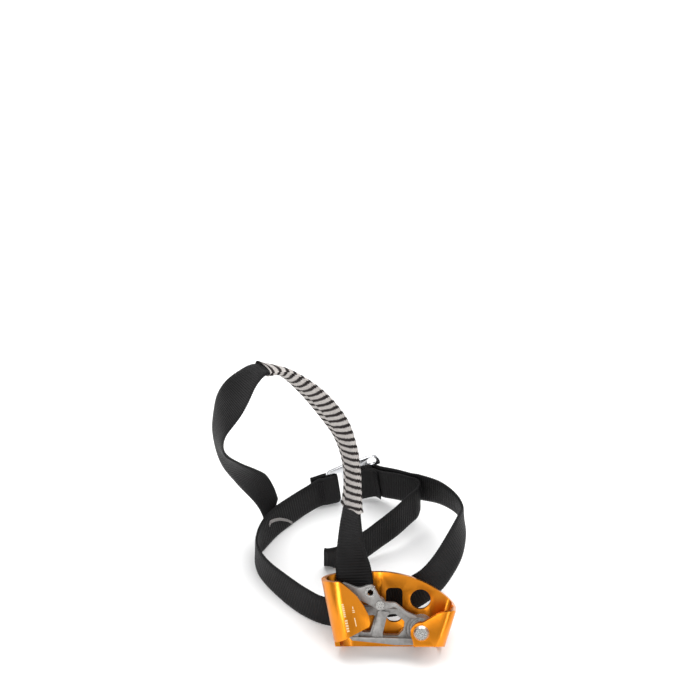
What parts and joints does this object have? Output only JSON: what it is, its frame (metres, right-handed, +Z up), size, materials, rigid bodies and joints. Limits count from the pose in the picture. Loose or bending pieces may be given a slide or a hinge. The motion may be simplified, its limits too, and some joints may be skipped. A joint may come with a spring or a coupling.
{
  "type": "foot ascender",
  "caption": "Folded plate foot ascender with a sprung toothed cam and trigger lever, on a black webbing ankle strap with a striped sleeved under-foot loop and a metal adjusting buckle.",
  "frame": {"origin": "centre of the bounding box, at the height of the surface it stands on", "axes": "+Z up, as it stands; +Y away from the open side of the frame; +X to the right seen from the open side"},
  "size_m": [0.1428, 0.1316, 0.155],
  "materials": {
    "anodised": "orange anodised, satin",
    "cast_steel": "cast, bead-blasted grey",
    "rivet_steel": "turned steel",
    "bush": "plain bearing",
    "spring_steel": "spring wire",
    "webbing": "black ribbed nylon webbing",
    "sleeve": "woven sleeve in dark and pale stripes",
    "binding": "dark edge fold",
    "thread": "grey thread",
    "thread_dark": "black thread",
    "buckle": "polished"
  },
  "bodies": {
    "frame": {"frame_plate": "anodised", "cam_axle": "rivet_steel", "washer_rear": "rivet_steel", "washer_front": "rivet_steel", "cam_spring": "spring_steel", "under_foot_strap": "webbing", "wear_sleeve": "sleeve", "sleeve_binding": "binding", "ankle_strap": "webbing", "adjust_strap": "webbing", "tail_end": "webbing", "keeper_patch": "webbing", "buckle_frame": "buckle", "junction_bartack": "thread", "buckle_bartack": "thread_dark", "frame_bartack": "thread_dark"},
    "cam": {"cam_body": "cast_steel", "cam_teeth": "cast_steel", "axle_bush": "bush", "trigger_pin": "rivet_steel", "trigger_spring": "spring_steel"},
    "trigger": {"trigger_lever": "cast_steel", "trigger_eyelet": "rivet_steel"}
  },
  "joints": [
    {"name": "cam_pivot", "type": "hinge", "parent": "frame", "child": "cam", "pos_m": [0.0454, -0.05303, 0.01474], "axis": [0, 0.848, -0.5299], "range_deg": [0, 30], "stiffness_Nm_per_rad": 0.08, "springref_deg": -28.65},
    {"name": "trigger_pivot", "type": "hinge", "parent": "cam", "child": "trigger", "pos_m": [0.0226, -0.04812, 0.02901], "axis": [0, 0.848, -0.5299], "range_deg": [-6, 0], "stiffness_Nm_per_rad": 0.02, "springref_deg": 28.65}
  ]
}
